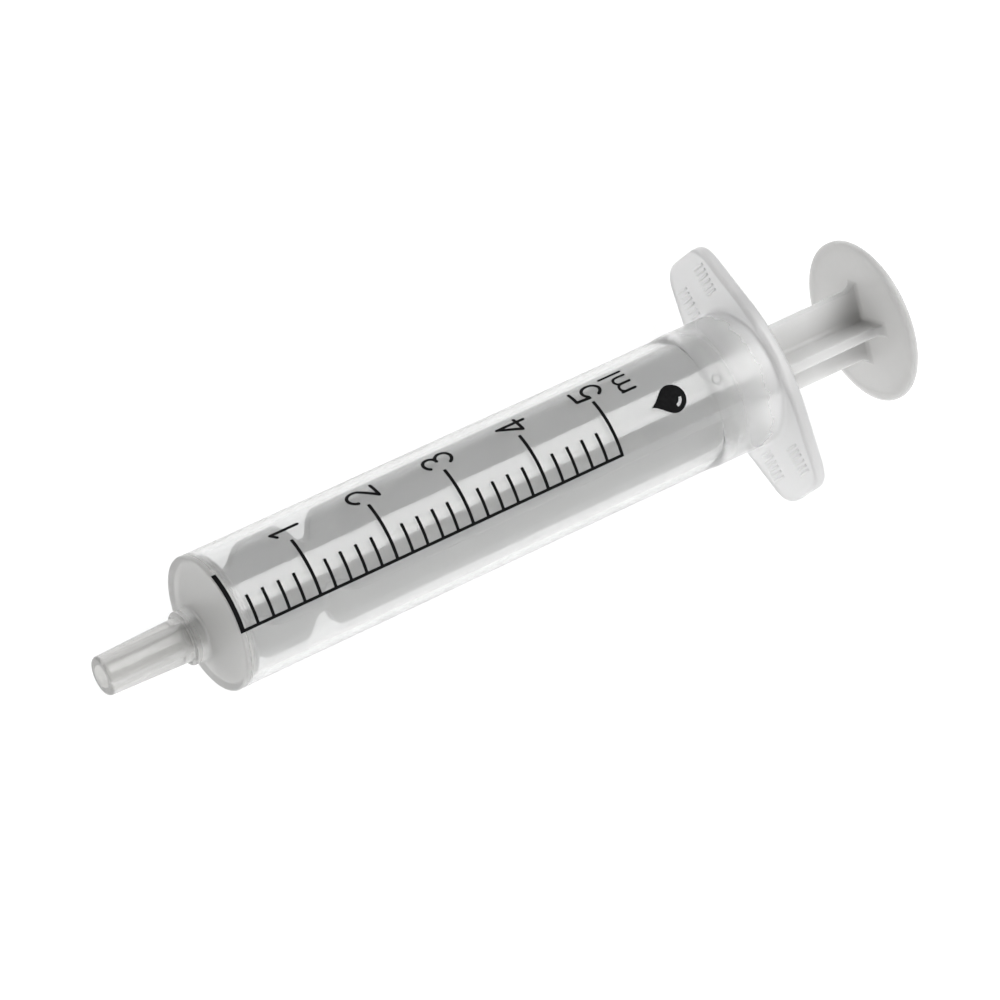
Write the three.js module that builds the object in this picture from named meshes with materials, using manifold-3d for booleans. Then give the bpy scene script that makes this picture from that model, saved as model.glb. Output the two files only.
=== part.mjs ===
// Two-piece 5 ml luer-slip oral syringe: a clear barrel that carries a printed scale, and a
// one-piece plunger that slides in it. Units are millimetres and +Z is up.
//
// The syringe lies on its side. Its axis runs along X, from the nozzle (-X) to the thumb
// rest (+X). The finger flange's wings point along Y, the nozzle sits below the axis, and
// the scale faces up. A "station" is a distance along the axis from the barrel's front face.
import * as THREE from 'three';
import { mergeVertices } from 'three/addons/utils/BufferGeometryUtils.js';
import { TessellateModifier } from 'three/addons/modifiers/TessellateModifier.js';
import Module from 'manifold-3d';

const wasm = await Module();
wasm.setup();

// ---- Driving dimensions -------------------------------------------------------------------

const SEGMENTS = 48; // facets round a turned shape; a facet, not an edge, lies at the bottom
const NOZZLE_SEGMENTS = 32;
const BORE_SEGMENTS = 24;
const CORE_SEGMENTS = 16;
const OVERLAP = 0.4; // how far joined solids reach into each other
const MERGE_DISTANCE = 1e-4;

// Barrel
const BORE_RADIUS = 6.09;
const WALL = 0.69;
const BARREL_RADIUS = BORE_RADIUS + WALL;
const END_WALL = 0.85;
const RIM_ROUND = 0.25;
const BORE_CORNER = 0.2;
const COLLAR = { start: 54.5, end: 55.1, radius: BARREL_RADIUS + 0.12 };
const RETAINING_BEAD = { start: 55.1, crest: 55.5, crestEnd: 55.9, end: 56.3, height: 0.15 };
const MOUTH_CHAMFER = 0.35;

// Nozzle: a male luer cone, 6 % on the diameter, on a short boss below the axis
const NOZZLE_DROP = 3.42;
const LUER_TAPER = 0.06;
const NOZZLE = { tip: -10.3, tipRound: 0.3, tipRadius: 1.95, tipBore: 1.1, rootBore: 0.95 };
const BOSS = { front: -1.4, radius: 2.7, round: 0.2 };

// Finger flange
const FLANGE = { front: 61.85, rear: 63.15 };
const FLANGE_TIP = { y: 13.1, z: 3.85, setback: 2.0 };
const FLANGE_WAIST = { z: 8.83, setback: 6.46 };
const GRIP = { pitch: 0.55, count: 6, z: 2.55, length: 2.2, width: 0.3, height: 0.15 };
const GRIP_FIRST_Y = { above: 8.5, below: 7.6 }; // the upper columns start further out

// Scale: equal volumes of the bore give equal steps
const STEP_VOLUME = 200; // mm3, 0.2 ml
const STEPS_PER_ML = 5;
const CAPACITY_ML = 5;
const STEP = STEP_VOLUME / (Math.PI * BORE_RADIUS ** 2);
const ZERO_LINE = 0.31;
const INK = { gap: 0.03, thickness: 0.04 };
const CLEARANCE = 0.01; // keeps the faces of joined strips of ink apart
const SCALE = { base: -22.2, baseWidth: 2.6, shortEnd: 2.8, longEnd: 28.8 }; // degrees from +Z to +Y
const STRIP_FACET = 8; // degrees
const LINE = { zero: 0.5, long: 0.34, short: 0.32 };
const NUMERAL = { angle: 40, width: 1.95, height: 3.35, stroke: 0.36, offset: 0.1 };
const UNIT = { station: 48.0, angle: 23.6, xHeight: 1.75, ascender: 2.7, stroke: 0.3, width: 2.25 };
const DROP = { station: 50.0, angle: 2.3, length: 3.9, radius: 1.45 };

// Plunger
const PLUNGER_ROLL = 30; // degrees about the axis, from the flange's wings to the first rib
const HEAD = {
  // stations
  front: 0.92,
  lipStart: 1.42,
  lipEnd: 1.67,
  lipBack: 1.52,
  web: 1.82,
  back: 2.4,
  // radii
  face: 5.6,
  lip: 6.04,
  lipRoot: 5.1,
  webRoot: 4.0,
  hub: 3.6,
};
const RIB = { thickness: 1.05, neck: 4.3, wide: 5.9, notch: 3.7, narrow: 3.65, core: 1.1 };
const RIB_LOBE = { start: 3.0, crest: 5.6, crestEnd: 8.8, notch: 11.7, end: 13.9 }; // stations
const SHOULDER = { station: 63.3, round: 0.6 };
const THUMB = { front: 76.55, rear: 77.25, radius: 8.43, round: 0.3 };
const GUSSET = { length: 1.3, height: 0.9, flare: 0.2 };

const CLEAR_PLASTIC = { color: 0xe6e9e9, roughness: 0.18, metalness: 0, transparent: true, opacity: 0.4 };
const MILKY_PLASTIC = { color: 0xdcdedd, roughness: 0.42, metalness: 0 };
const BLACK_INK = { color: 0x0c0c0d, roughness: 0.5, metalness: 0 };

// ---- Shape helpers ------------------------------------------------------------------------

const radians = THREE.MathUtils.degToRad;

/** A closed three.js geometry as a manifold solid. */
function solid(geometry) {
  const bare = geometry.clone();
  bare.deleteAttribute('normal');
  bare.deleteAttribute('uv');
  const merged = mergeVertices(bare, MERGE_DISTANCE);
  const corners = merged.index.array;
  const triangles = [];
  for (let i = 0; i < corners.length; i += 3) {
    const [a, b, c] = corners.slice(i, i + 3);
    if (a !== b && b !== c && c !== a) triangles.push(a, b, c);
  }
  const mesh = new wasm.Mesh({
    numProp: 3,
    vertProperties: new Float32Array(merged.attributes.position.array),
    triVerts: new Uint32Array(triangles),
  });
  return new wasm.Manifold(mesh);
}

/** The union of several closed geometries, as a manifold solid. */
function joined(geometries) {
  return geometries.map(solid).reduce((whole, piece) => whole.add(piece));
}

/** A manifold solid as a three.js geometry. */
function geometryOf(manifold) {
  const { vertProperties, triVerts } = manifold.getMesh();
  const geometry = new THREE.BufferGeometry();
  geometry.setAttribute('position', new THREE.BufferAttribute(vertProperties, 3));
  geometry.setIndex(new THREE.BufferAttribute(triVerts, 1));
  geometry.computeVertexNormals();
  return geometry;
}

/** A solid turned about the X axis, from [station, radius] points that start and end on it. */
function turned(points, segments = SEGMENTS) {
  const profile = points.map(([station, radius]) => new THREE.Vector2(radius, station));
  const geometry = new THREE.LatheGeometry(profile, segments, Math.PI / segments);
  return geometry.rotateZ(-Math.PI / 2);
}

/** Points of a quarter round from one [station, radius] to another, bulging at the corner. */
function quarterRound(from, corner, to, steps = 3) {
  const [a, b, c] = [from, corner, to].map(([x, r]) => new THREE.Vector2(x, r));
  return new THREE.QuadraticBezierCurve(a, b, c).getPoints(steps).map((p) => [p.x, p.y]);
}

/** A flat outline in Y and Z, extruded along X between two stations. */
function crossSlab(shape, start, end) {
  const geometry = new THREE.ExtrudeGeometry(shape, {
    depth: end - start,
    bevelEnabled: false,
    curveSegments: 8,
  });
  // the shape's x and y become Y and Z, and its depth becomes X
  const axes = new THREE.Matrix4().makeBasis(
    new THREE.Vector3(0, 1, 0),
    new THREE.Vector3(0, 0, 1),
    new THREE.Vector3(1, 0, 0),
  );
  return geometry.applyMatrix4(axes).translate(start, 0, 0);
}

/** A closed outline through corners [x, y, setback], each rounded over its setback. */
function roundedOutline(corners) {
  const shape = new THREE.Shape();
  corners.forEach(([x, y, setback], i) => {
    const corner = new THREE.Vector2(x, y);
    const [beforeX, beforeY] = corners.at(i - 1);
    const [afterX, afterY] = corners[(i + 1) % corners.length];
    const enter = new THREE.Vector2(beforeX, beforeY).sub(corner).setLength(setback).add(corner);
    const leave = new THREE.Vector2(afterX, afterY).sub(corner).setLength(setback).add(corner);
    if (i === 0) shape.moveTo(enter.x, enter.y);
    else shape.lineTo(enter.x, enter.y);
    shape.quadraticCurveTo(corner.x, corner.y, leave.x, leave.y);
  });
  return shape;
}

// ---- Barrel -------------------------------------------------------------------------------

function barrelBody() {
  return turned([
    [0, 0],
    ...quarterRound([0, BARREL_RADIUS - RIM_ROUND], [0, BARREL_RADIUS], [RIM_ROUND, BARREL_RADIUS]),
    [COLLAR.start, BARREL_RADIUS],
    [COLLAR.end, COLLAR.radius],
    [FLANGE.rear, COLLAR.radius],
    [FLANGE.rear, 0],
  ]);
}

function barrelBore() {
  const crest = BORE_RADIUS - RETAINING_BEAD.height;
  return turned([
    [END_WALL, 0],
    [END_WALL, BORE_RADIUS - BORE_CORNER],
    [END_WALL + BORE_CORNER, BORE_RADIUS],
    [RETAINING_BEAD.start, BORE_RADIUS],
    [RETAINING_BEAD.crest, crest],
    [RETAINING_BEAD.crestEnd, crest],
    [RETAINING_BEAD.end, BORE_RADIUS],
    [FLANGE.rear - MOUTH_CHAMFER, BORE_RADIUS],
    [FLANGE.rear + OVERLAP, BORE_RADIUS + MOUTH_CHAMFER + OVERLAP],
    [FLANGE.rear + OVERLAP, 0],
  ]);
}

function nozzleRadius(station) {
  return NOZZLE.tipRadius + ((station - NOZZLE.tip) * LUER_TAPER) / 2;
}

function nozzleBody() {
  const { tip, tipRadius, tipRound } = NOZZLE;
  const roundEnd = [tip + tipRound, nozzleRadius(tip + tipRound)];
  const cone = turned(
    [
      [tip, 0],
      ...quarterRound([tip, tipRadius - tipRound], [tip, tipRadius], roundEnd),
      [OVERLAP, nozzleRadius(OVERLAP)],
      [OVERLAP, 0],
    ],
    NOZZLE_SEGMENTS,
  );
  const boss = turned(
    [
      [BOSS.front, 0],
      [BOSS.front, BOSS.radius - BOSS.round],
      [BOSS.front + BOSS.round, BOSS.radius],
      [OVERLAP, BOSS.radius],
      [OVERLAP, 0],
    ],
    NOZZLE_SEGMENTS,
  );
  return [cone, boss].map((geometry) => geometry.translate(0, 0, -NOZZLE_DROP));
}

function nozzleBore() {
  const channel = turned(
    [
      [NOZZLE.tip - OVERLAP, 0],
      [NOZZLE.tip - OVERLAP, NOZZLE.tipBore],
      [END_WALL + OVERLAP, NOZZLE.rootBore],
      [END_WALL + OVERLAP, 0],
    ],
    BORE_SEGMENTS,
  );
  return channel.translate(0, 0, -NOZZLE_DROP);
}

function fingerFlange() {
  const { y, z, setback } = FLANGE_TIP;
  const outline = roundedOutline([
    [y, -z, setback],
    [y, z, setback],
    [0, FLANGE_WAIST.z, FLANGE_WAIST.setback],
    [-y, z, setback],
    [-y, -z, setback],
    [0, -FLANGE_WAIST.z, FLANGE_WAIST.setback],
  ]);
  return crossSlab(outline, FLANGE.front, FLANGE.rear);
}

/** Short ridges in two columns on the front of each wing, where the fingers press. */
function gripRidges() {
  const ridges = [];
  const depth = GRIP.height + OVERLAP;
  const x = FLANGE.front - GRIP.height + depth / 2;
  for (const side of [-1, 1]) {
    for (const column of [-1, 1]) {
      const first = column > 0 ? GRIP_FIRST_Y.above : GRIP_FIRST_Y.below;
      for (let i = 0; i < GRIP.count; i += 1) {
        const ridge = new THREE.BoxGeometry(depth, GRIP.width, GRIP.length);
        ridges.push(ridge.translate(x, side * (first + i * GRIP.pitch), column * GRIP.z));
      }
    }
  }
  return ridges;
}

function barrelGeometry() {
  const outside = joined([barrelBody(), fingerFlange(), ...nozzleBody(), ...gripRidges()]);
  return geometryOf(outside.subtract(solid(barrelBore())).subtract(solid(nozzleBore())));
}

// ---- Plunger ------------------------------------------------------------------------------

/** Head: a thin face and a flared lip that wipes the bore, on a short hub. */
function plungerHead() {
  const { front, face, lipStart, lipEnd, lipBack, web, back } = HEAD;
  return turned([
    [front, 0],
    [front, face],
    [lipStart, HEAD.lip],
    [lipEnd, HEAD.lip],
    [lipBack, HEAD.lipRoot],
    [web, HEAD.webRoot],
    [back, HEAD.hub],
    [back, 0],
  ]);
}

/** Half the outline of a rib plate, from the head to the thumb rest, as [station, reach]. */
function ribEdge(shape, side) {
  const [neck, wide, notch, narrow] = [RIB.neck, RIB.wide, RIB.notch, RIB.narrow].map((r) => side * r);
  const { start, crest, crestEnd, end } = RIB_LOBE;
  const curve = (from, to, [x0, y0], [x1, y1]) => {
    const spanX = x1 - x0;
    shape.bezierCurveTo(x0 + from * spanX, y0, x0 + to * spanX, y1, x1, y1);
  };
  shape.lineTo(start, neck);
  curve(0.35, 0.42, [start, neck], [crest, wide]);
  shape.lineTo(crestEnd, wide);
  curve(0.55, 0.55, [crestEnd, wide], [RIB_LOBE.notch, notch]);
  curve(0.36, 0.18, [RIB_LOBE.notch, notch], [end, wide]);
  shape.lineTo(SHOULDER.station - SHOULDER.round, wide);
  shape.quadraticCurveTo(SHOULDER.station, wide, SHOULDER.station, wide - side * SHOULDER.round);
  shape.lineTo(SHOULDER.station, narrow);
  shape.lineTo(THUMB.front - GUSSET.length, narrow);
  const flare = narrow + side * GUSSET.height;
  shape.quadraticCurveTo(THUMB.front - GUSSET.flare, narrow, THUMB.front, flare);
}

/** One plate of the cross: two opposite ribs, flat in X and Y, as thick as a rib in Z. */
function ribPlate() {
  const end = THUMB.front + OVERLAP;
  const curveSteps = 6;
  const [lower, upper] = [-1, 1].map((side) => {
    const edge = new THREE.Path();
    edge.moveTo(HEAD.lipBack, side * RIB.neck);
    ribEdge(edge, side);
    return edge.getPoints(curveSteps);
  });
  const reach = RIB.narrow + GUSSET.height;
  const outline = [
    ...lower,
    new THREE.Vector2(end, -reach),
    new THREE.Vector2(end, reach),
    ...upper.reverse(),
  ];
  const plate = new THREE.ExtrudeGeometry(new THREE.Shape(outline), {
    depth: RIB.thickness,
    bevelEnabled: false,
  });
  return plate.translate(0, 0, -RIB.thickness / 2);
}

function plungerCore() {
  const start = HEAD.lipBack;
  const end = THUMB.front + OVERLAP / 2;
  const core = new THREE.CylinderGeometry(RIB.core, RIB.core, end - start, CORE_SEGMENTS);
  return core.rotateZ(-Math.PI / 2).translate((start + end) / 2, 0, 0);
}

function thumbRest() {
  const { front, rear, radius, round } = THUMB;
  return turned([
    [front, 0],
    ...quarterRound([front, radius - round], [front, radius], [front + round, radius], 2),
    ...quarterRound([rear - round, radius], [rear, radius], [rear, radius - round], 2),
    [rear, 0],
  ]);
}

function plungerGeometry() {
  const plates = [ribPlate(), ribPlate().rotateX(Math.PI / 2)];
  return geometryOf(joined([plungerHead(), ...plates, plungerCore(), thumbRest()]));
}

// ---- Print --------------------------------------------------------------------------------
//
// The print is drawn flat, with glyphs upright in (right, up), turned so that up points to
// the nozzle, and wrapped round the barrel as a thin film.

/** A thin plate of ink from a flat outline. */
function inkPlate(shape) {
  return new THREE.ExtrudeGeometry(shape, {
    depth: INK.thickness,
    bevelEnabled: false,
    curveSegments: 10,
  });
}

/** A pen stroke of the given width along a flat curve, with round ends. */
function inkStroke(curve, width) {
  const steps = curve instanceof THREE.LineCurve ? 1 : 10;
  const capSteps = 4;
  const half = width / 2;
  const edge = (t, turn) => {
    const heading = curve.getTangent(t).angle() + turn;
    const centre = curve.getPoint(t);
    return new THREE.Vector2(centre.x + half * Math.cos(heading), centre.y + half * Math.sin(heading));
  };
  const outline = [];
  for (let i = 0; i <= steps; i += 1) outline.push(edge(i / steps, -Math.PI / 2));
  for (let i = 1; i < capSteps; i += 1) outline.push(edge(1, -Math.PI / 2 + (i * Math.PI) / capSteps));
  for (let i = steps; i >= 0; i -= 1) outline.push(edge(i / steps, Math.PI / 2));
  for (let i = 1; i < capSteps; i += 1) outline.push(edge(0, Math.PI / 2 + (i * Math.PI) / capSteps));
  return inkPlate(new THREE.Shape(outline));
}

/** Wraps a flat print, drawn as (station, arc length, height), round the barrel. */
function wrappedPrint(flat) {
  const inner = BARREL_RADIUS + INK.gap;
  const longestEdge = 1.2;
  const rounds = 12;
  const fine = new TessellateModifier(longestEdge, rounds).modify(flat.toNonIndexed());
  fine.deleteAttribute('normal');
  const position = fine.attributes.position;
  for (let i = 0; i < position.count; i += 1) {
    const angle = position.getY(i) / inner;
    const radius = inner + position.getZ(i);
    position.setXYZ(i, position.getX(i), radius * Math.sin(angle), radius * Math.cos(angle));
  }
  const wrapped = mergeVertices(fine, MERGE_DISTANCE);
  wrapped.computeVertexNormals();
  return wrapped;
}

/** Turns an upright glyph so that up points to the nozzle, with its origin at a place. */
function placed(geometry, station, angle) {
  return geometry.rotateZ(Math.PI / 2).translate(station, arc(angle), 0);
}

function arc(degrees) {
  return radians(degrees) * (BARREL_RADIUS + INK.gap);
}

/** A strip of ink between two stations, wrapped round the barrel from one angle to another. */
function inkStrip(start, end, angleFrom, angleTo, extraDepth = 0) {
  const inner = BARREL_RADIUS + INK.gap - extraDepth;
  const outer = BARREL_RADIUS + INK.gap + INK.thickness + extraDepth;
  const facets = Math.ceil((angleTo - angleFrom) / STRIP_FACET);
  const turns = [];
  for (let i = 0; i <= facets; i += 1) {
    turns.push(radians(THREE.MathUtils.lerp(angleFrom, angleTo, i / facets)));
  }
  const at = (radius) => (turn) => new THREE.Vector2(radius * Math.sin(turn), radius * Math.cos(turn));
  const outline = [...turns.map(at(outer)), ...turns.reverse().map(at(inner))];
  return crossSlab(new THREE.Shape(outline), start, end);
}

function graduation(step) {
  return ZERO_LINE + step * STEP;
}

/**
 * The scale's ladder: a base line along the barrel and a graduation at every step. The base
 * line is a little deeper than the graduations, so their ends lie inside it.
 */
function ladderGeometry() {
  const steps = CAPACITY_ML * STEPS_PER_ML;
  const halfBase = SCALE.baseWidth / 2;
  const base = [SCALE.base - halfBase, SCALE.base + halfBase];
  const strips = [
    inkStrip(graduation(0) - LINE.zero / 2, graduation(steps) + LINE.long / 2, ...base, CLEARANCE),
  ];
  for (let step = 0; step <= steps; step += 1) {
    const isLong = step % STEPS_PER_ML === 0;
    const width = step === 0 ? LINE.zero : isLong ? LINE.long : LINE.short;
    const reach = isLong ? SCALE.longEnd : SCALE.shortEnd;
    const inset = step === 0 || step === steps ? CLEARANCE : 0;
    const station = graduation(step);
    const [start, end] = [station - width / 2 + inset, station + width / 2 - inset];
    strips.push(inkStrip(start, end, SCALE.base, reach));
  }
  return geometryOf(joined(strips));
}

const point = (x, y) => new THREE.Vector2(x, y);
const line = (x0, y0, x1, y1) => new THREE.LineCurve(point(x0, y0), point(x1, y1));
const arch = (x, y, rx, ry, from, to, clockwise) =>
  new THREE.EllipseCurve(x, y, rx, ry, radians(from), radians(to), clockwise, 0);

/** The pen strokes of the numerals 1 to 5, on a centre line at x = 0 and a base line at y = 0. */
function numeralStrokes(numeral) {
  const x = (NUMERAL.width - NUMERAL.stroke) / 2;
  const low = NUMERAL.stroke / 2;
  const high = NUMERAL.height - low;
  const bowl = 0.95;
  switch (numeral) {
    case 1:
      return [line(0.15, low, 0.15, high), line(0.15, high, -0.4, high - 0.45)];
    case 2:
      return [
        arch(0, high - bowl, x, bowl, 165, -35, true),
        line(0.63, high - 1.5, -x, low),
        line(-x, low, x, low),
      ];
    case 3:
      return [
        arch(-0.03, high - 0.72, x - 0.08, 0.72, 150, -90, true),
        arch(0, low + 0.8, x, 0.8, 90, -155, true),
      ];
    case 4:
      return [line(0.35, low, 0.35, high), line(0.35, high, -x, 0.95), line(-x, 0.95, x, 0.95)];
    default:
      return [
        line(x - 0.1, high, -x + 0.12, high),
        line(-x + 0.12, high, -x + 0.02, 1.75),
        arch(-0.02, low + bowl, x, bowl, 138, -150, true),
      ];
  }
}

function numeralGeometry(numeral) {
  const strokes = numeralStrokes(numeral).map((curve) => inkStroke(curve, NUMERAL.stroke));
  const station = graduation(numeral * STEPS_PER_ML) + NUMERAL.offset + NUMERAL.height / 2;
  return wrappedPrint(placed(geometryOf(joined(strokes)), station, NUMERAL.angle));
}

/** The unit's two letters stand side by side on one base line. */
function unitStrokes() {
  const low = UNIT.stroke / 2;
  const halfArch = (UNIT.width - UNIT.stroke) / 4;
  const archTop = UNIT.xHeight - low - halfArch;
  const legs = [0, 2 * halfArch, 4 * halfArch].map((x) => x + low);
  const m = [
    line(legs[0], low, legs[0], UNIT.xHeight - low),
    line(legs[1], low, legs[1], archTop),
    line(legs[2], low, legs[2], archTop),
    arch((legs[0] + legs[1]) / 2, archTop, halfArch, halfArch, 180, 0, true),
    arch((legs[1] + legs[2]) / 2, archTop, halfArch, halfArch, 180, 0, true),
  ];
  const lAt = UNIT.width + 0.55;
  return { m, l: [line(lAt, low, lAt, UNIT.ascender - low)] };
}

function unitGeometry(letter) {
  const strokes = unitStrokes()[letter].map((curve) => inkStroke(curve, UNIT.stroke));
  return wrappedPrint(placed(geometryOf(joined(strokes)), UNIT.station, UNIT.angle));
}

/** A plain liquid drop with a crescent left clear in it. */
function dropGeometry() {
  const { length, radius } = DROP;
  const tip = length - radius;
  const drop = new THREE.Shape();
  drop.moveTo(0, tip);
  drop.bezierCurveTo(-0.25, tip - 0.9, -radius, 0.9, -radius, 0);
  drop.absarc(0, 0, radius, Math.PI, 2 * Math.PI, false);
  drop.bezierCurveTo(radius, 0.9, 0.25, tip - 0.9, 0, tip);
  const crescent = new THREE.Path();
  crescent.absarc(0, 0, radius * 0.66, radians(190), radians(262), false);
  crescent.absarc(0, 0, radius * 0.44, radians(262), radians(190), true);
  drop.holes.push(crescent);
  const flat = geometryOf(solid(inkPlate(drop)));
  return wrappedPrint(placed(flat, DROP.station + (length / 2 - radius), DROP.angle));
}

// ---- Assembly -----------------------------------------------------------------------------

function named(name, geometry, material) {
  const mesh = new THREE.Mesh(geometry, new THREE.MeshStandardMaterial(material));
  mesh.name = name;
  return mesh;
}

const barrel = new THREE.Group();
barrel.add(named('barrel', barrelGeometry(), CLEAR_PLASTIC));
barrel.add(named('scale_ladder', ladderGeometry(), BLACK_INK));
for (let numeral = 1; numeral <= CAPACITY_ML; numeral += 1) {
  barrel.add(named(`numeral_${numeral}`, numeralGeometry(numeral), BLACK_INK));
}
barrel.add(named('unit_m', unitGeometry('m'), BLACK_INK));
barrel.add(named('unit_l', unitGeometry('l'), BLACK_INK));
barrel.add(named('drop_mark', dropGeometry(), BLACK_INK));

const plunger = new THREE.Group();
plunger.rotation.x = radians(PLUNGER_ROLL);
plunger.add(named('plunger', plungerGeometry(), MILKY_PLASTIC));

// The origin is under the middle of the syringe, on the surface that its thumb rest touches.
const syringe = new THREE.Group();
syringe.add(barrel, plunger);
syringe.position.set(-(NOZZLE.tip + THUMB.rear) / 2, 0, THUMB.radius * Math.cos(Math.PI / SEGMENTS));

export default syringe;
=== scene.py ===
import math

import bmesh
import bpy
from mathutils import Matrix, Vector


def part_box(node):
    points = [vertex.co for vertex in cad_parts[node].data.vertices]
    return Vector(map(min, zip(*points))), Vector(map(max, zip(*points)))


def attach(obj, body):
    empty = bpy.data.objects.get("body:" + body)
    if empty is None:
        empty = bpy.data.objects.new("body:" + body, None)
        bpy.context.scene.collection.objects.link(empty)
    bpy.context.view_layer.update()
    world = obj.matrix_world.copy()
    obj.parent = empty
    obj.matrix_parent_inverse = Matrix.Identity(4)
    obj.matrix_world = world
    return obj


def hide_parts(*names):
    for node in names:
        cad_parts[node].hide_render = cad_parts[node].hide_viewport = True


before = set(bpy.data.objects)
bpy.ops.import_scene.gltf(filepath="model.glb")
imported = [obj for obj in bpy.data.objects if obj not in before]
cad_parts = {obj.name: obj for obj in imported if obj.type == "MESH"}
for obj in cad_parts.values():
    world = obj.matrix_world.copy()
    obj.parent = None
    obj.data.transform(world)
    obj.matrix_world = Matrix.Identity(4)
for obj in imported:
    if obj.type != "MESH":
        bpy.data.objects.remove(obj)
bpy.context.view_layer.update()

# ---- Places from the frame ----------------------------------------------------------------

MM = 0.001
barrel_low, barrel_high = (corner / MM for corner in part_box("barrel"))
plunger_low, plunger_high = (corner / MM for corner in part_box("plunger"))

# How far the thumb rest stays inside the frame's box
BOX_MARGIN = 0.005
NOZZLE_LENGTH = 10.3
FRONT_X = barrel_low.x + NOZZLE_LENGTH
AXIS_Z = (barrel_low.z + barrel_high.z) / 2
FLANGE_REAR = barrel_high.x - FRONT_X
FLANGE_HALF_WIDTH = barrel_high.y
THUMB_REAR = plunger_high.x - FRONT_X
THUMB_RADIUS = (plunger_high.z - plunger_low.z) / 2 - BOX_MARGIN

# ---- Driving dimensions, in millimetres, with angles in degrees ---------------------------

# Barrel
BORE_RADIUS = 6.09
BARREL_RADIUS = 6.78
END_WALL = 0.85
RIM_ROUND = 0.25
COLLAR_START = 54.0
COLLAR_END = 55.6
COLLAR_RADIUS = BARREL_RADIUS + 0.11
BEAD_STATION = 55.8
BEAD_HALF_LENGTH = 0.9
BEAD_HEIGHT = 0.1
MOUTH_CHAMFER = 0.35
MARK_STATION = 55.7
MARK_ANGLE = 1.5
MARK_RADIUS = 0.45
MARK_THICKNESS = 0.11
AROUND = 320

# Nozzle and boss
NOZZLE_DROP = 3.42
LUER_TAPER = 0.06
NOZZLE_TIP_RADIUS = 1.95
NOZZLE_TIP_ROUND = 0.3
NOZZLE_BORE = 1.1
NOZZLE_ROOT_BORE = 0.95
BOSS_HEIGHT = 1.4
BOSS_RADIUS = 2.7
BOSS_EDGE = 0.18
BOSS_FILLET = 0.28

# Finger flange
FLANGE_THICKNESS = 1.3
FLANGE_FRONT_EDGE = 0.5
FLANGE_REAR_EDGE = 0.3
FLANGE_FILLET = 0.55
FLANGE_TIP_Z = 3.85
FLANGE_TIP_SETBACK = 2.0
FLANGE_WAIST_Z = 8.83
FLANGE_WAIST_SETBACK = 6.46
GRIP_FIRST_Y_ABOVE = 8.5
GRIP_FIRST_Y_BELOW = 7.6
GRIP_PITCH = 0.55
GRIP_COUNT = 6
GRIP_Z = 2.55
GRIP_LENGTH = 2.2
GRIP_WIDTH = 0.3
GRIP_HEIGHT = 0.15

# Plunger
PLUNGER_ROLL = 30
HEAD_FRONT = 0.92
HEAD_BACK = 2.4
HEAD_FACE_RADIUS = 5.6
HEAD_LIP_RADIUS = 6.04
HEAD_HUB_RADIUS = 3.6
RIB_HALF_THICKNESS = 0.525
RIB_TIP_ROUND = 0.16
RIB_FILLET = 0.55
RIB_NECK = 4.3
RIB_WIDE = 5.9
RIB_NOTCH = 3.7
RIB_NARROW = 3.65
NECK_END = 3.0
LOBE_START = 5.6
LOBE_END = 8.8
NOTCH_STATION = 11.7
PLAIN_START = 13.9
SHOULDER = 63.3
SHOULDER_ROUND = 0.6
THUMB_THICKNESS = 0.7
THUMB_ROUND = 0.3
GUSSET_LENGTH = 1.3
GUSSET_HEIGHT = 0.9
GUSSET_FOOT = 0.45
GUSSET_SPREAD = 0.4

# Print
INK_GAP = 0.008
INK_THICKNESS = 0.02
STEPS_PER_ML = 5
CAPACITY_ML = 5
STEP = 200 / (math.pi * BORE_RADIUS**2)
ZERO_STATION = 0.31
BASE_LINE_ANGLE = -22.2
BASE_LINE_WIDTH = 0.3
SHORT_LINE_ANGLE = 2.8
LONG_LINE_ANGLE = 28.8
ZERO_LINE_WIDTH = 0.48
LONG_LINE_WIDTH = 0.34
SHORT_LINE_WIDTH = 0.32
NUMERAL_ANGLE = 40
NUMERAL_WIDTH = 1.95
NUMERAL_HEIGHT = 3.35
NUMERAL_STROKE = 0.34
UNIT_ANGLE = 23.6
UNIT_WIDTH = 2.25
UNIT_X_HEIGHT = 1.75
UNIT_ASCENDER = 2.7
UNIT_STROKE = 0.28
DROP_ANGLE = 2.3
DROP_LENGTH = 3.9
DROP_RADIUS = 1.45


# ---- Mesh helpers -------------------------------------------------------------------------


def piece_from(bm, name):
    """A new object from a bmesh, which is used up."""
    bmesh.ops.recalc_face_normals(bm, faces=bm.faces)
    mesh = bpy.data.meshes.new(name)
    bm.to_mesh(mesh)
    bm.free()
    piece = bpy.data.objects.new(name, mesh)
    bpy.context.scene.collection.objects.link(piece)
    return piece


def loft(name, rings):
    """A closed solid through rings of points, with a flat cap on the first and the last."""
    bm = bmesh.new()
    loops = [[bm.verts.new(point) for point in ring] for ring in rings]
    for before, after in zip(loops, loops[1:]):
        for i, vert in enumerate(before):
            j = i - 1
            bm.faces.new((before[j], vert, after[i], after[j]))
    bm.faces.new(loops[0])
    bm.faces.new(loops[-1])
    bmesh.ops.remove_doubles(bm, verts=bm.verts, dist=1e-4)
    return piece_from(bm, name)


def ring(station, radius, angles, drop=0.0):
    """Points round the axis, or round a line below it. radius may give one for each angle."""
    radii = radius if isinstance(radius, list) else [radius] * len(angles)
    return [
        (station, r * math.cos(a), r * math.sin(a) - drop) for r, a in zip(radii, angles)
    ]


def even_angles(count):
    """Angles round a full turn, without the one that repeats the first."""
    return [math.tau * i / count for i in range(count)]


def turned(name, profile, count, drop=0.0):
    """A closed solid turned from [station, radius] pairs."""
    angles = even_angles(count)
    return loft(name, [ring(station, radius, angles, drop) for station, radius in profile])


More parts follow.
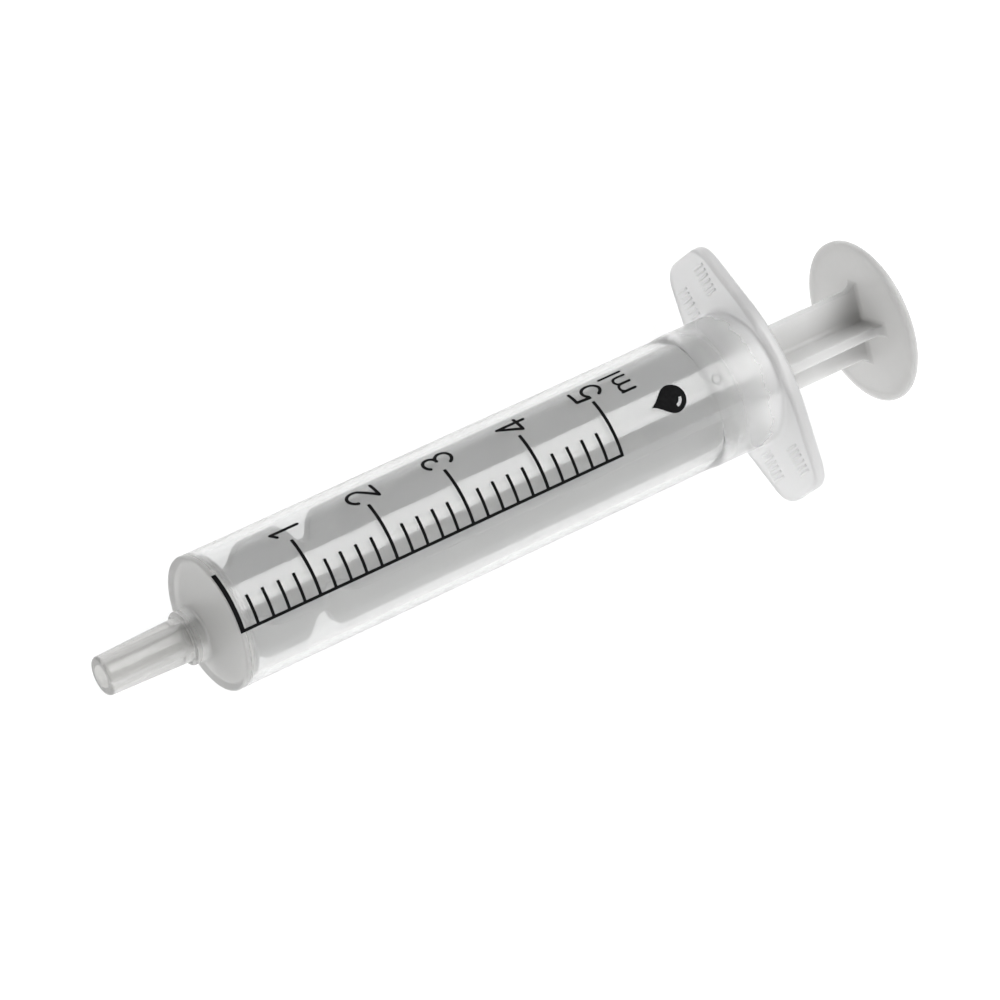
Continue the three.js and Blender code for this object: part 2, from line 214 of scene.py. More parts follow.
def quarter(start, corner, end, steps=4):
    """Pairs along a quarter round from start to end, bulging towards the corner."""
    pairs = []
    for i in range(steps + 1):
        turn = math.pi / 2 * i / steps
        along, across = 1 - math.cos(turn), math.sin(turn)
        pairs.append(
            tuple(
                s + (c - s) * across + (e - c) * along
                for s, c, e in zip(start, corner, end)
            )
        )
    return pairs


def bezier(a, b, c, d, steps):
    """Points along a cubic curve from a to d."""
    points = []
    for i in range(steps + 1):
        t = i / steps
        weights = ((1 - t) ** 3, 3 * t * (1 - t) ** 2, 3 * t * t * (1 - t), t**3)
        points.append(
            tuple(sum(w * p[k] for w, p in zip(weights, (a, b, c, d))) for k in range(2))
        )
    return points


def settle(piece):
    """Applies a piece's modifiers to its mesh."""
    graph = bpy.context.evaluated_depsgraph_get()
    shaped = piece.evaluated_get(graph)
    mesh = bpy.data.meshes.new_from_object(
        shaped, preserve_all_data_layers=True, depsgraph=graph
    )
    piece.modifiers.clear()
    piece.data = mesh
    return piece


def combined(base, other, operation):
    """The union or difference of two closed solids, in the first one's object."""
    combine = base.modifiers.new("Combine", "BOOLEAN")
    combine.operation = operation
    combine.solver = "EXACT"
    combine.object = other
    settle(base)
    bpy.data.objects.remove(other)
    return base


def smoothed(piece, sharp_degrees=35):
    """Smooth shading that stays flat on flat faces and breaks at sharp edges."""
    piece.data.shade_smooth()
    piece.data.set_sharp_from_angle(angle=math.radians(sharp_degrees))
    normals = piece.modifiers.new("Normals", "WEIGHTED_NORMAL")
    normals.keep_sharp = True
    return settle(piece)


def in_frame(piece):
    """Moves a piece from syringe millimetres to its place in the frame, in metres."""
    place = Matrix.Translation((FRONT_X * MM, 0, AXIS_Z * MM)) @ Matrix.Scale(MM, 4)
    piece.data.transform(place)
    return piece


def station_x(station):
    """A station's place along the frame's X, in metres."""
    return (FRONT_X + station) * MM


def spaced(start, end, steps):
    """Evenly spaced numbers from start to end, with both ends."""
    return [start + (end - start) * i / steps for i in range(steps + 1)]


def smooth_step(t):
    """An ease from 0 to 1 that starts and ends level."""
    return t * t * (3 - 2 * t)


# ---- Barrel -------------------------------------------------------------------------------


def flange_outline(count):
    """Evenly spaced points round the flange, as polar angles and radii."""
    width, tip_z, waist_z = FLANGE_HALF_WIDTH, FLANGE_TIP_Z, FLANGE_WAIST_Z
    corners = [
        (Vector((width, -tip_z)), FLANGE_TIP_SETBACK),
        (Vector((width, tip_z)), FLANGE_TIP_SETBACK),
        (Vector((0, waist_z)), FLANGE_WAIST_SETBACK),
        (Vector((-width, tip_z)), FLANGE_TIP_SETBACK),
        (Vector((-width, -tip_z)), FLANGE_TIP_SETBACK),
        (Vector((0, -waist_z)), FLANGE_WAIST_SETBACK),
    ]
    curve_steps = 24
    path = []
    for i, (corner, setback) in enumerate(corners):
        before = corners[i - 1][0]
        after = corners[(i + 1) % len(corners)][0]
        enter = corner + (before - corner).normalized() * setback
        leave = corner + (after - corner).normalized() * setback
        for k in range(curve_steps + 1):
            t = k / curve_steps
            path.append(enter * (1 - t) ** 2 + corner * 2 * t * (1 - t) + leave * t * t)
    lengths = [0.0]
    closed = path + path[:1]
    for a, b in zip(closed, closed[1:]):
        lengths.append(lengths[-1] + (b - a).length)
    angles, radii = [], []
    segment = 0
    for k in range(count):
        wanted = lengths[-1] * k / count
        while lengths[segment + 1] < wanted:
            segment += 1
        share = (wanted - lengths[segment]) / (lengths[segment + 1] - lengths[segment])
        point = closed[segment].lerp(closed[segment + 1], share)
        angles.append(math.atan2(point.y, point.x))
        radii.append(point.length)
    return angles, radii


def barrel_shell():
    """The tube, end wall, collar and flange as one closed skin, from outside round to bore."""
    angles, reach = flange_outline(AROUND)
    flange_front = FLANGE_REAR - FLANGE_THICKNESS
    face = BARREL_RADIUS - RIM_ROUND
    room = [r - FLANGE_FRONT_EDGE - COLLAR_RADIUS for r in reach]
    fillets = [min(FLANGE_FILLET, 0.6 * r) for r in room]
    mouth = BORE_RADIUS + MOUTH_CHAMFER
    bead_crest = BORE_RADIUS - BEAD_HEIGHT
    collar_length = COLLAR_END - COLLAR_START

    def circles(pairs):
        return [ring(station, radius, angles) for station, radius in pairs]

    def fillet_ring(turn):
        """A ring on the hollow round between the collar and the flange."""
        points = []
        for f, a in zip(fillets, angles):
            radius = COLLAR_RADIUS + f * (1 - math.cos(turn))
            station = flange_front - f * (1 - math.sin(turn))
            points.append((station, radius * math.cos(a), radius * math.sin(a)))
        return points

    def wing(station, inset, share=1.0):
        """A ring on the flange, between the fillet's foot and its edge less the inset."""
        feet = [COLLAR_RADIUS + f for f in fillets]
        radii = [foot + (r - inset - foot) * share for r, foot in zip(reach, feet)]
        return ring(station, radii, angles)

    outside = circles(
        [(0, face - 0.1)]
        + quarter((0, face), (0, BARREL_RADIUS), (RIM_ROUND, BARREL_RADIUS), 6)
        + [(station, BARREL_RADIUS) for station in spaced(RIM_ROUND + 0.1, COLLAR_START - 0.2, 8)]
        + [
            (
                COLLAR_START + collar_length * t,
                BARREL_RADIUS + (COLLAR_RADIUS - BARREL_RADIUS) * smooth_step(t),
            )
            for t in spaced(0, 1, 6)
        ]
        + [(flange_front - FLANGE_FILLET - 0.1, COLLAR_RADIUS)]
    )
    outside += [fillet_ring(turn) for turn in spaced(0, math.pi / 2, 6)]
    near, far = FLANGE_FRONT_EDGE, FLANGE_REAR_EDGE
    edge = quarter((flange_front, near), (flange_front, 0), (flange_front + near, 0), 6)
    back = quarter((FLANGE_REAR - far, 0), (FLANGE_REAR, 0), (FLANGE_REAR, far))
    flange = [wing(flange_front, near, share) for share in (0.05, 0.5, 0.97)]
    flange += [wing(station, inset) for station, inset in edge + back]
    flange += [wing(FLANGE_REAR, far, share) for share in (0.97, 0.5, 0.05)]
    bore = circles(
        [(FLANGE_REAR, mouth + 0.1), (FLANGE_REAR, mouth), (FLANGE_REAR - 0.06, mouth - 0.09)]
        + [(FLANGE_REAR - MOUTH_CHAMFER, BORE_RADIUS), (FLANGE_REAR - 2, BORE_RADIUS)]
        + [
            (
                BEAD_STATION + BEAD_HALF_LENGTH * math.cos(turn),
                BORE_RADIUS + (bead_crest - BORE_RADIUS) * math.sin(turn),
            )
            for turn in spaced(0, math.pi, 8)
        ]
        + [(station, BORE_RADIUS) for station in spaced(COLLAR_START, 2, 8)]
        + quarter(
            (END_WALL + 0.25, BORE_RADIUS), (END_WALL, BORE_RADIUS), (END_WALL, BORE_RADIUS - 0.25)
        )
        + [(END_WALL, BORE_RADIUS - 0.35)]
    )
    return loft("barrel_moulding", outside + flange + bore)


def nozzle_radius(station):
    """The outside radius of the luer cone, which grows from its tip."""
    return NOZZLE_TIP_RADIUS + (station + NOZZLE_LENGTH) * LUER_TAPER / 2


def nozzle_solid():
    """The luer cone on its boss, with a foot that sinks into the end wall."""
    tip = -NOZZLE_LENGTH
    cone_end = -BOSS_HEIGHT - 0.12
    root = nozzle_radius(-BOSS_HEIGHT)
    foot = BOSS_RADIUS + BOSS_FILLET
    front = -BOSS_HEIGHT
    profile = (
        [(tip, NOZZLE_TIP_RADIUS - NOZZLE_TIP_ROUND - 0.05)]
        + quarter(
            (tip, NOZZLE_TIP_RADIUS - NOZZLE_TIP_ROUND),
            (tip, nozzle_radius(tip)),
            (tip + NOZZLE_TIP_ROUND, nozzle_radius(tip + NOZZLE_TIP_ROUND)),
            5,
        )
        + [(cone_end, nozzle_radius(cone_end)), (front, root + 0.09)]
        + quarter(
            (front, BOSS_RADIUS - BOSS_EDGE), (front, BOSS_RADIUS), (front + BOSS_EDGE, BOSS_RADIUS)
        )
        + quarter((-BOSS_FILLET, BOSS_RADIUS), (0, BOSS_RADIUS), (0.001, foot))
        + [(END_WALL / 2, foot)]
    )
    return turned("nozzle", profile, 96, NOZZLE_DROP)


def nozzle_channel():
    """The hollow through the nozzle and the end wall, a little wider at each mouth."""
    tip = -NOZZLE_LENGTH
    profile = [
        (tip - 0.5, NOZZLE_BORE + 0.6),
        (tip - 0.02, NOZZLE_BORE + 0.16),
        (tip + 0.05, NOZZLE_BORE + 0.07),
        (tip + 0.2, NOZZLE_BORE),
        (END_WALL - 0.15, NOZZLE_ROOT_BORE),
        (END_WALL + 0.3, NOZZLE_ROOT_BORE + 0.45),
    ]
    return turned("channel", profile, 72, NOZZLE_DROP)


def capsule_rings(centre, half_width, half_height, length):
    """Rings of a bar with rounded ends, lying along Z with an elliptical section in X and Y."""
    x, y, z = centre
    rings = []
    for end, sign in ((-1, -1), (1, 1)):
        for i in range(5):
            turn = math.pi / 2 * (i / 4.4 if sign > 0 else 1 - (i + 0.4) / 4.4)
            size = math.cos(turn)
            height = end * (length / 2 - half_width) + sign * half_width * math.sin(turn)
            rings.append(
                [
                    (
                        x + half_height * size * math.cos(a),
                        y + half_width * size * math.sin(a),
                        z + height,
                    )
                    for a in even_angles(12)
                ]
            )
    return rings


def grip_ridges():
    """Short rounded ridges in two columns on the front of each wing."""
    ridges = []
    front = FLANGE_REAR - FLANGE_THICKNESS
    for side in (-1, 1):
        for column in (-1, 1):
            first = GRIP_FIRST_Y_ABOVE if column > 0 else GRIP_FIRST_Y_BELOW
            for i in range(GRIP_COUNT):
                centre = (front, side * (first + i * GRIP_PITCH), column * GRIP_Z)
                rings = capsule_rings(centre, GRIP_WIDTH / 2, GRIP_HEIGHT, GRIP_LENGTH)
                ridges.append(loft("ridge", rings))
    return one_of(ridges, "ridges")


def one_of(pieces, name):
    """Several separate solids as one object."""
    bm = bmesh.new()
    for piece in pieces:
        bm.from_mesh(piece.data)
        bpy.data.objects.remove(piece)
    return piece_from(bm, name)


def mould_mark():
    """A small raised ring on the collar, like the mark of a mould insert."""
    major, minor = MARK_RADIUS, MARK_THICKNESS
    bm = bmesh.new()
    circles = []
    for a in even_angles(36):
        circle = []
        for b in even_angles(10):
            out = major + minor * math.cos(b)
            point = (out * math.cos(a), out * math.sin(a), minor * math.sin(b))
            circle.append(bm.verts.new(point))
        circles.append(circle)
    for i, circle in enumerate(circles):
        for j in range(len(circle)):
            corners = (circles[i - 1][j - 1], circles[i - 1][j], circle[j], circle[j - 1])
            bm.faces.new(corners)
    mark = piece_from(bm, "mark")
    turn = math.radians(MARK_ANGLE)
    place = Matrix.Rotation(-turn, 4, "X") @ Matrix.Translation((MARK_STATION, 0, COLLAR_RADIUS))
    mark.data.transform(place)
    return mark


def barrel():
    """The whole barrel as one solid."""
    body = combined(barrel_shell(), nozzle_solid(), "UNION")
    combined(body, nozzle_channel(), "DIFFERENCE")
    combined(body, grip_ridges(), "UNION")
    combined(body, mould_mark(), "UNION")
    return smoothed(body)


# ---- Plunger ------------------------------------------------------------------------------


def swell(start, end, leave, arrive):
    """Pairs along a smooth change of reach. Each share is how far its end's tangent runs."""
    run = end[0] - start[0]
    leaving = (start[0] + leave * run, start[1])
    arriving = (end[0] - arrive * run, end[1])
    return bezier(start, leaving, arriving, end, 14)


def rib_outline():
    """The ribs' reach from the neck to the shoulder, as [station, reach] pairs."""
    rise = swell((NECK_END, RIB_NECK), (LOBE_START, RIB_WIDE), 0.35, 0.58)
    fall = swell((LOBE_END, RIB_WIDE), (NOTCH_STATION, RIB_NOTCH), 0.55, 0.45)
    climb = swell((NOTCH_STATION, RIB_NOTCH), (PLAIN_START, RIB_WIDE), 0.36, 0.82)
    plain = [(station, RIB_WIDE) for station in spaced(20, 54, 4)]
    end = quarter(
        (SHOULDER - SHOULDER_ROUND, RIB_WIDE),
        (SHOULDER, RIB_WIDE),
        (SHOULDER, RIB_WIDE - SHOULDER_ROUND),
        6,
    )
    return rise + fall + climb[1:] + plain + end


def cross_ring(station, reach, spread=0.0):
    """The cross section at a station: four arms with round tips and filleted roots."""
    half = RIB_HALF_THICKNESS + spread
    side_start = half + RIB_FILLET
    side_end = reach - RIB_TIP_ROUND
    side = [side_start, (side_start + side_end) / 2, side_end]
    root = arch(side_start, side_start, RIB_FILLET, RIB_FILLET, 225, 270, 4)[:-1]
    tip = []
    for i in range(1, 4):
        turn = math.pi / 2 * i / 3
        inset = RIB_TIP_ROUND * (1 - math.cos(turn))
        tip.append((reach - RIB_TIP_ROUND + RIB_TIP_ROUND * math.sin(turn), half - inset))
    upper = root + [(x, half) for x in side] + tip
    lower = [(x, -y) for x, y in reversed(upper)]
    arm = upper + [(reach, 0.0)] + lower[:-1]
    points = []
    for k in range(4):
        turn = math.radians(PLUNGER_ROLL) - math.pi / 2 * k
        for x, y in arm:
            points.append(
                (
                    station,
                    x * math.cos(turn) - y * math.sin(turn),
                    x * math.sin(turn) + y * math.cos(turn),
                )
            )
    return points


def plunger_rod():
    """The cross-shaped rod, flared where it meets the thumb rest."""
    start = HEAD_FRONT + 0.5
    thumb_front = THUMB_REAR - THUMB_THICKNESS
    step = SHOULDER + 0.02
    rings = [cross_ring(start, RIB_NECK)]
    rings += [cross_ring(station, reach) for station, reach in rib_outline()]
    inner = quarter((step, RIB_NARROW + 0.3), (step, RIB_NARROW), (step + 0.3, RIB_NARROW))
    rings += [cross_ring(station, reach) for station, reach in inner]
    rings.append(cross_ring(70, RIB_NARROW))
    for t in spaced(0, 1, 8):
        station = thumb_front - GUSSET_LENGTH * (1 - t)
        near = max(0.0, 1 - (thumb_front - station) / GUSSET_FOOT)
        spread = GUSSET_SPREAD * (1 - math.sqrt(1 - near**2))
        rings.append(cross_ring(station, RIB_NARROW + GUSSET_HEIGHT * t**2.2, spread))
    rings.append(cross_ring(thumb_front + 0.3, RIB_NARROW + GUSSET_HEIGHT, GUSSET_SPREAD))
    return loft("plunger_moulding", rings)


def plunger_head():
    """The sealing end: a thin face with a flared lip, on a short hub."""
    front, face, lip = HEAD_FRONT, HEAD_FACE_RADIUS, HEAD_LIP_RADIUS
    profile = (
        [(front, face - 0.5), (front, face - 0.1)]
        + [(front + 0.05, face + 0.03), (front + 0.42, lip - 0.06)]
        + [(front + 0.52, lip), (front + 0.7, lip), (front + 0.78, lip - 0.06)]
        + [(front + 0.62, face - 0.35), (front + 0.66, face - 0.6)]
        + [(front + 0.9, HEAD_HUB_RADIUS + 0.4), (HEAD_BACK - 0.15, HEAD_HUB_RADIUS)]
        + [(HEAD_BACK, HEAD_HUB_RADIUS - 0.15)]
    )
    return turned("head", profile, 144)


def thumb_rest():
    """The round rest, with a low rim on its front and a shallow dish in its back."""
    rear, radius = THUMB_REAR, THUMB_RADIUS
    front = rear - THUMB_THICKNESS
    rim = front - 0.06
    dish = rear - 0.13
    profile = (
        [(front, radius - 1.1), (front, radius - 0.75), (rim, radius - 0.6)]
        + quarter((rim, radius - 0.28), (rim, radius), (rim + 0.28, radius), 5)
        + quarter((rear - THUMB_ROUND, radius), (rear, radius), (rear, radius - THUMB_ROUND), 5)
        + [(rear, radius - 0.8), (rear - 0.04, radius - 1.0), (dish + 0.01, radius - 1.2)]
        + [(dish, 2.0), (dish, 1.0), (dish + 0.05, 0.85), (dish + 0.05, 0.6)]
    )
    return turned("thumb", profile, 192)


def plunger():
    """The whole plunger as one solid."""
    body = combined(plunger_rod(), plunger_head(), "UNION")
    combined(body, thumb_rest(), "UNION")
    return smoothed(body, 40)


# ---- Print --------------------------------------------------------------------------------
#
# Glyphs are drawn flat as (right, up). Up points to the nozzle and right runs round the
# barrel towards +Y.


def film(name, outline):
    """A thin flat solid over a closed outline of (right, up) points."""
    bm = bmesh.new()
    face = bm.faces.new([bm.verts.new((x, y, 0)) for x, y in outline])
    grown = bmesh.ops.extrude_face_region(bm, geom=[face])
    top = [item for item in grown["geom"] if isinstance(item, bmesh.types.BMVert)]
    bmesh.ops.translate(bm, verts=top, vec=(0, 0, INK_THICKNESS))
    return piece_from(bm, name)


def stroke(points, width):
    """The outline of a pen stroke along a smooth run of points, with round ends."""
    half = width / 2
    path = [Vector(point) for point in points]
    cap_steps = 8
    left, right = [], []
    for i, point in enumerate(path):
        before = path[max(i - 1, 0)]
        after = path[min(i + 1, len(path) - 1)]
        heading = (after - before).normalized()
        normal = Vector((-heading.y, heading.x)) * half
        left.append(point + normal)
        right.append(point - normal)

    def cap(centre, start):
        """Points between the two sides of an end, going clockwise from start."""
        return [
            centre + Matrix.Rotation(-math.pi * i / cap_steps, 2) @ (start - centre)
            for i in range(1, cap_steps)
        ]

    outline = left + cap(path[-1], left[-1]) + right[::-1] + cap(path[0], right[0])
    return [tuple(point) for point in outline]


def arch(x, y, rx, ry, start, end, steps=20):
    """Points along an ellipse's arc, from one angle to another in degrees."""
    points = []
    for i in range(steps + 1):
        turn = math.radians(start + (end - start) * i / steps)
        points.append((x + rx * math.cos(turn), y + ry * math.sin(turn)))
    return points


def numeral_strokes(numeral):
    """The pen strokes of a numeral from 1 to 5, centred on x = 0 and standing on y = 0."""
    x = (NUMERAL_WIDTH - NUMERAL_STROKE) / 2
    low = NUMERAL_STROKE / 2
    high = NUMERAL_HEIGHT - low
    bowl = 0.95
    strokes = {
        1: [[(0.15, low), (0.15, high)], [(0.15, high), (-0.4, high - 0.45)]],
        2: [
            arch(0, high - bowl, x, bowl, 165, -35),
            [(0.63, high - 1.5), (-x, low)],
            [(-x, low), (x, low)],
        ],
        3: [
            arch(-0.03, high - 0.72, x - 0.08, 0.72, 150, -90),
            arch(0, low + 0.8, x, 0.8, 90, -155),
        ],
        4: [[(0.35, low), (0.35, high)], [(0.35, high), (-x, 0.95)], [(-x, 0.95), (x, 0.95)]],
        5: [
            [(x - 0.1, high), (-x + 0.12, high)],
            [(-x + 0.12, high), (-x + 0.02, 1.75)],
            arch(-0.02, low + bowl, x, bowl, 138, -150),
        ],
    }
    return strokes[numeral]


def unit_strokes():
    """The pen strokes of the unit's two letters, side by side on y = 0."""
    low = UNIT_STROKE / 2
    half = (UNIT_WIDTH - UNIT_STROKE) / 4
    top = UNIT_X_HEIGHT - low - half
    legs = [low, low + 2 * half, low + 4 * half]
    letter_m = [[(legs[0], low), (legs[0], UNIT_X_HEIGHT - low)]]
    letter_m += [[(leg, low), (leg, top)] for leg in legs[1:]]
    letter_m += [arch(leg + half, top, half, half, 180, 0) for leg in legs[:2]]
    letter_l = [[(UNIT_WIDTH + 0.55, low), (UNIT_WIDTH + 0.55, UNIT_ASCENDER - low)]]
    return {"unit_m": letter_m, "unit_l": letter_l}


def glyph(name, strokes, width):
    """Several pen strokes as one flat solid."""
    films = [film(name, stroke(points, width)) for points in strokes]
    whole = films[0]
    for other in films[1:]:
        combined(whole, other, "UNION")
    return whole


def wrapped(piece, station, degrees):
    """Wraps a flat print round the barrel, with its origin at a station and an angle."""
    radius = BARREL_RADIUS + INK_GAP
    bm = bmesh.new()
    bm.from_mesh(piece.data)
    origin = Matrix.Translation((station, math.radians(degrees) * radius, 0))
    bm.transform(origin @ Matrix.Rotation(math.pi / 2, 4, "Z"))
    step = math.radians(2) * radius
    reach = [vert.co.y for vert in bm.verts]
    for i in range(math.ceil(min(reach) / step), math.ceil(max(reach) / step)):
        everything = bm.verts[:] + bm.edges[:] + bm.faces[:]
        cut = (0, i * step, 0)
        bmesh.ops.bisect_plane(bm, geom=everything, plane_co=cut, plane_no=(0, 1, 0))
    for vert in bm.verts:
        angle = vert.co.y / radius
        height = radius + vert.co.z
        vert.co.y = height * math.sin(angle)
        vert.co.z = height * math.cos(angle)
    bm.to_mesh(piece.data)
    bm.free()
    return smoothed(piece)


def graduation(step):
    """The station of a graduation, counted from the zero line."""
    return ZERO_STATION + step * STEP


def scale_ladder():
    """The base line and its 26 graduations as one comb-shaped film."""
    arc = math.radians(1) * (BARREL_RADIUS + INK_GAP)
    steps = CAPACITY_ML * STEPS_PER_ML
    low = BASE_LINE_ANGLE * arc - BASE_LINE_WIDTH / 2
    top = BASE_LINE_ANGLE * arc + BASE_LINE_WIDTH / 2
    outline = []
    for step in range(steps + 1):
        is_long = step % STEPS_PER_ML == 0
        width = LONG_LINE_WIDTH if is_long else SHORT_LINE_WIDTH
        if step == 0:
            width = ZERO_LINE_WIDTH
        reach = (LONG_LINE_ANGLE if is_long else SHORT_LINE_ANGLE) * arc
        near, far = graduation(step) - width / 2, graduation(step) + width / 2
        tooth = [(top, -near), (reach, -near), (reach, -far), (top, -far)]
        outline += tooth[1:] if step == 0 else tooth
    outline[-1] = (low, outline[-1][1])
    outline.append((low, -(graduation(0) - ZERO_LINE_WIDTH / 2)))
    return wrapped(film("ink_scale_ladder", outline), 0, 0)


def drop_mark():
    """A plain liquid drop with a crescent left clear in it."""
    tip = DROP_LENGTH - DROP_RADIUS
    shoulder = (-DROP_RADIUS, 0.9)
    flank = bezier((0, tip), (-0.25, tip - 0.9), shoulder, (-DROP_RADIUS, 0), 20)[1:-1]
    bowl = arch(0, 0, DROP_RADIUS, DROP_RADIUS, 180, 360, 32)
    outline = [(0, tip)] + flank + bowl + [(-x, y) for x, y in reversed(flank)]
    drop = film("ink_drop_mark", outline)
    outer = arch(0, 0, DROP_RADIUS * 0.66, DROP_RADIUS * 0.66, 190, 262, 16)
    inner = arch(0, 0, DROP_RADIUS * 0.44, DROP_RADIUS * 0.44, 262, 190, 16)
    crescent = film("crescent", outer + inner)
    through = Matrix.Translation((0, 0, -INK_THICKNESS)) @ Matrix.Diagonal((1, 1, 3, 1))
    crescent.data.transform(through)
    combined(drop, crescent, "DIFFERENCE")
    low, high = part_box("drop_mark")
    middle = (low.x + high.x) / 2 / MM - FRONT_X
    return wrapped(drop, middle + DROP_LENGTH / 2 - DROP_RADIUS, DROP_ANGLE)


def base_station(node):
    """The station that a glyph stands on: its node's end away from the nozzle."""
    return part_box(node)[1].x / MM - FRONT_X


# ---- Materials ----------------------------------------------------------------------------


class Nodes:
    """Builds one material's node tree."""

    def __init__(self, name):
        self.material = bpy.data.materials.new(name)
        self.material.use_nodes = True
        self.tree = self.material.node_tree
        self.shader = self.tree.nodes["Principled BSDF"]

    def add(self, kind, inputs=None, **settings):
        node = self.tree.nodes.new(kind)
        for key, value in settings.items():
            setattr(node, key, value)
        for key, value in (inputs or {}).items():
            if isinstance(value, bpy.types.NodeSocket):
                self.tree.links.new(value, node.inputs[key])
            else:
                node.inputs[key].default_value = value
        return node

    def noise(self, scale, detail=2.0, stretch=(1, 1, 1)):
        """A noise in the object's own coordinates, from 0 to 1."""
        place = self.add("ShaderNodeTexCoord").outputs["Object"]
        mapped = self.add("ShaderNodeMapping", {"Vector": place, "Scale": stretch})
        inputs = {"Vector": mapped.outputs["Vector"], "Scale": scale, "Detail": detail}
        return self.add("ShaderNodeTexNoise", inputs).outputs["Fac"]

    def ranged(self, value, low, high, from_low=0.0, from_high=1.0):
        """A value that goes from low to high, held at both ends of its source's range."""
        inputs = {
            "Value": value,
            "From Min": from_low,
            "From Max": from_high,
            "To Min": low,
            "To Max": high,
        }
        return self.add("ShaderNodeMapRange", inputs).outputs["Result"]

    def math(self, operation, *values):
        node = self.add("ShaderNodeMath", dict(enumerate(values)), operation=operation)
        return node.outputs[0]

    def along_x(self):
        """How far along the frame's X a point is, in metres."""
        place = self.add("ShaderNodeTexCoord").outputs["Object"]
        return self.add("ShaderNodeSeparateXYZ", {"Vector": place}).outputs["X"]

    def blend(self, factor, first, second):
        """Mixes two colours. The first may be another node's output."""
        start = first if isinstance(first, bpy.types.NodeSocket) else (*first, 1)
        inputs = {"Factor": factor, 6: start, 7: (*second, 1)}
        return self.add("ShaderNodeMix", inputs, data_type="RGBA").outputs[2]

    def multiply(self, first, second):
        mix = self.add("ShaderNodeMix", data_type="RGBA", blend_type="MULTIPLY")
        mix.inputs[0].default_value = 1
        self.tree.links.new(first, mix.inputs[6])
        self.tree.links.new(second, mix.inputs[7])
        return mix.outputs[2]

    def bump(self, height, strength, distance, normal=None):
        inputs = {"Height": height, "Strength": strength, "Distance": distance}
        if normal is not None:
            inputs["Normal"] = normal
        return self.add("ShaderNodeBump", inputs).outputs["Normal"]

    def drive(self, **sockets):
        """Links node outputs to the shader."""
        names = {
            "color": "Base Color",
            "roughness": "Roughness",
            "normal": "Normal",
            "transmission": "Transmission Weight",
        }
        for key, value in sockets.items():
            self.tree.links.new(value, self.shader.inputs[names[key]])

    def fix(self, values):
        """Sets values that are the same all over the surface."""
        for key, value in values.items():
            self.shader.inputs[key].default_value = value


def clear_plastic():
    """Clear moulded polypropylene: glossy on the tube, hazier at its ends."""
    nodes = Nodes("clear_polypropylene")
    x = nodes.along_x()
    nozzle_end = nodes.ranged(x, 1, 0, station_x(0.2), station_x(1.5))
    behind_nozzle = nodes.ranged(x, 0, 1, station_x(-BOSS_HEIGHT), station_x(-0.4))
    end_wall = nodes.math("MULTIPLY", nozzle_end, behind_nozzle)
    grip_end = nodes.ranged(x, 0, 1, station_x(COLLAR_START), station_x(FLANGE_REAR - 1.8))
    haze = nodes.ranged(nodes.noise(900, 3), 0.05, 0.11)
    roughness = nodes.math("MULTIPLY_ADD", nozzle_end, 0.12, haze)
    roughness = nodes.math("MULTIPLY_ADD", end_wall, 0.14, roughness)
    roughness = nodes.math("MULTIPLY_ADD", grip_end, 0.22, roughness)
    tube_tint = nodes.blend(grip_end, (0.918, 0.922, 0.92), (0.985, 0.985, 0.985))
    color = nodes.blend(nozzle_end, tube_tint, (0.81, 0.808, 0.795))
    clear = nodes.math("MULTIPLY_ADD", nozzle_end, -0.2, 0.94)
    clear = nodes.math("MULTIPLY_ADD", end_wall, -0.24, clear)
    clear = nodes.math("MULTIPLY_ADD", grip_end, -0.42, clear)
    ripple = nodes.bump(nodes.noise(260, 2, (0.25, 1, 1)), 0.06, 0.0003)
    grain_strength = nodes.ranged(grip_end, 0.06, 0.01)
    grain = nodes.bump(nodes.noise(5200, 2), grain_strength, 0.00006, ripple)
    nodes.drive(color=color, roughness=roughness, normal=grain, transmission=clear)
    nodes.fix({"IOR": 1.49})
    return nodes.material


def milky_plastic():
    """Milky moulded polyethylene, with painted shade: darker by the shoulder and darker again at
    the thumb rest, though the material itself is even.
    """
    nodes = Nodes("milky_polyethylene")
    cloud = nodes.blend(nodes.noise(160, 3), (0.78, 0.78, 0.775), (0.84, 0.84, 0.835))
    x = nodes.along_x()
    # Painted shade: the rod is darkened from eight millimetres before the shoulder to the shoulder,
    # where it leaves the barrel, and again from station 70 to the thumb rest's front.
    outside = nodes.ranged(x, 0, 1, station_x(SHOULDER - 8), station_x(SHOULDER))
    thumb_shade_span = nodes.ranged(x, 0, 1, station_x(70), station_x(THUMB_REAR - THUMB_THICKNESS))
    # Painted shade: the rod outside the barrel falls to 0.76 of its colour, and the thumb rest to a
    # further 0.66.
    rod = nodes.blend(outside, (1, 1, 1), (0.76, 0.76, 0.76))
    rest = nodes.blend(thumb_shade_span, (1, 1, 1), (0.66, 0.66, 0.66))
    color = nodes.multiply(cloud, nodes.multiply(rod, rest))
    roughness = nodes.ranged(nodes.noise(1400, 3), 0.34, 0.5)
    flow = nodes.bump(nodes.noise(300, 2, (0.3, 1, 1)), 0.15, 0.0002)
    grain = nodes.bump(nodes.noise(6000, 2), 0.12, 0.00005, flow)
    nodes.drive(color=color, roughness=roughness, normal=grain)
    nodes.fix(
        {
            "IOR": 1.5,
            "Subsurface Weight": 1.0,
            "Subsurface Radius": (1.0, 0.99, 0.975),
            "Subsurface Scale": 0.004,
        }
    )
    return nodes.material


def black_ink():
    """Screen-printed ink: near black and satin, a touch thin in places."""
    nodes = Nodes("printed_ink")
    cover = nodes.ranged(nodes.noise(2600, 4), 0, 1, 0.35, 0.75)
    color = nodes.blend(cover, (0.004, 0.004, 0.0045), (0.009, 0.009, 0.0095))
    roughness = nodes.ranged(nodes.noise(3500, 2), 0.5, 0.65)
    grain = nodes.bump(nodes.noise(7000, 2), 0.2, 0.00003)
    nodes.drive(color=color, roughness=roughness, normal=grain)
    nodes.fix({"IOR": 1.5, "Specular IOR Level": 0.06})
    return nodes.material


